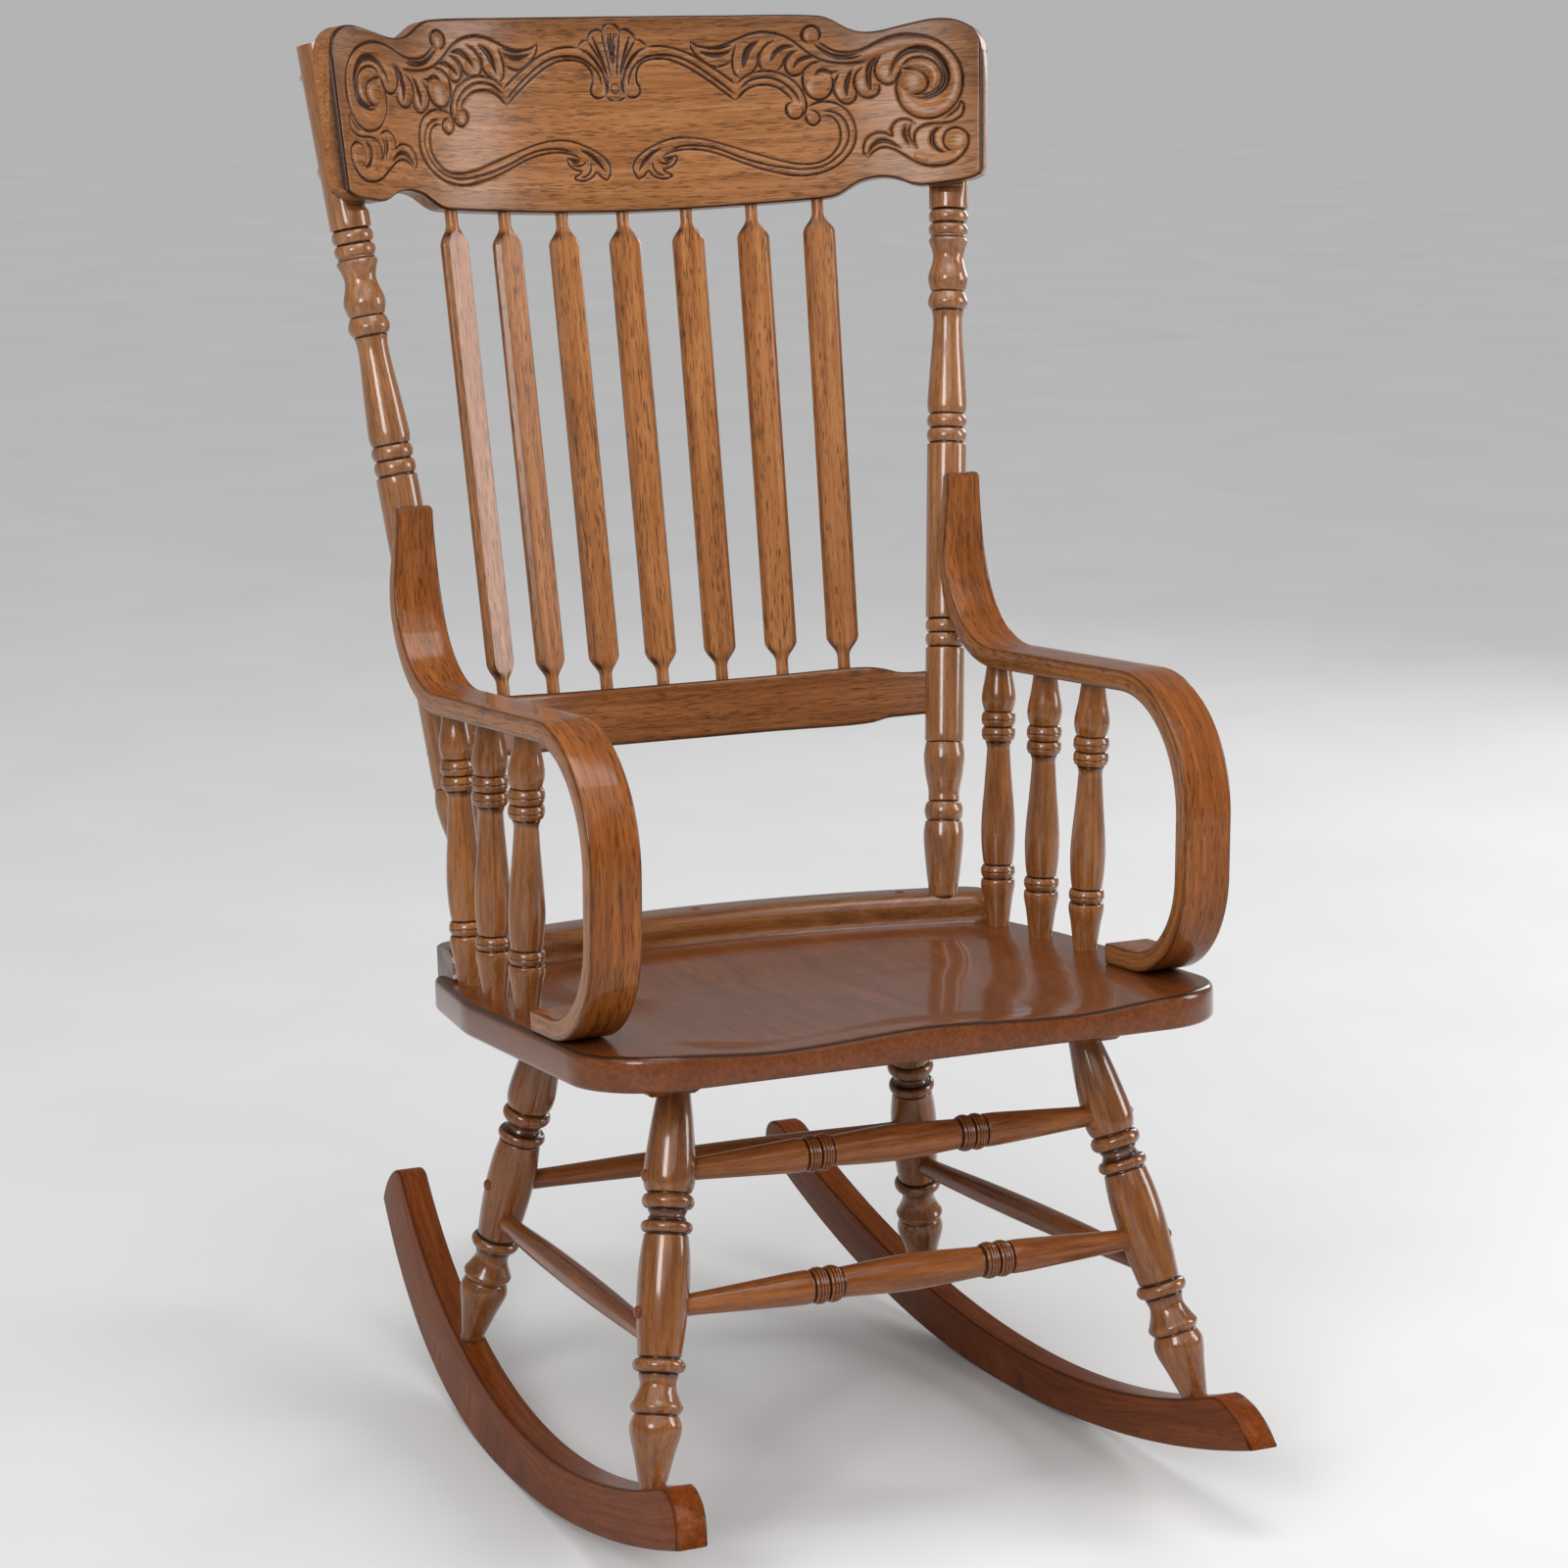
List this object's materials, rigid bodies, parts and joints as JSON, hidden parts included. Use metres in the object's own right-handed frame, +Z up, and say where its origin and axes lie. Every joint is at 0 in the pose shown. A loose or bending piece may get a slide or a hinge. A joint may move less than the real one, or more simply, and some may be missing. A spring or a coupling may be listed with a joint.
{
  "type": "rocking chair",
  "caption": "Tall wooden rocking chair with a carved curved crest, paddle slats, turned posts and legs, bent loop arms, a dished seat and curved rockers.",
  "frame": {"origin": "on the floor, in the middle of the chair's footprint", "axes": "+Z up, the sitter faces -Y, +X is the sitter's left"},
  "size_m": [0.6154, 0.8012, 1.1689],
  "materials": {
    "rocker_wood": "satin lacquer",
    "seat_wood": "glossy lacquer",
    "leg_wood": "satin lacquer, dark glaze in the grooves",
    "back_wood": "satin lacquer, dark glaze in the grooves",
    "carved_wood": "pressed relief, dark glaze in the hollows",
    "arm_wood": "satin lacquer",
    "plug_wood": "satin lacquer, end grain",
    "screw_steel": "zinc plated"
  },
  "bodies": {
    "root": {"rocker_left": "rocker_wood", "rocker_right": "rocker_wood", "seat_cleat_left": "leg_wood", "seat_cleat_right": "leg_wood", "leg_front_left": "leg_wood", "leg_front_right": "leg_wood", "leg_rear_left": "leg_wood", "leg_rear_right": "leg_wood", "front_stretcher_upper": "leg_wood", "front_stretcher_lower": "leg_wood", "rear_stretcher": "leg_wood", "side_stretcher_left": "leg_wood", "side_stretcher_right": "leg_wood", "seat": "seat_wood", "seat_riser": "seat_wood", "lower_rail": "back_wood", "back_post_left": "back_wood", "back_post_right": "back_wood", "back_slat_1": "back_wood", "back_slat_2": "back_wood", "back_slat_3": "back_wood", "back_slat_4": "back_wood", "back_slat_5": "back_wood", "back_slat_6": "back_wood", "back_slat_7": "back_wood", "crest_rail": "carved_wood", "arm_left": "arm_wood", "arm_right": "arm_wood", "arm_spindle_left_rear": "arm_wood", "arm_spindle_left_middle": "arm_wood", "arm_spindle_left_front": "arm_wood", "arm_spindle_right_rear": "arm_wood", "arm_spindle_right_middle": "arm_wood", "arm_spindle_right_front": "arm_wood", "stretcher_caps": "plug_wood", "riser_caps": "plug_wood", "stretcher_screws": "screw_steel", "riser_screws": "screw_steel", "crest_bolts": "screw_steel", "arm_bolts": "screw_steel", "arm_screws": "screw_steel", "post_screws": "screw_steel", "cleat_screws": "screw_steel", "rocker_screws": "screw_steel"}
  },
  "joints": []
}
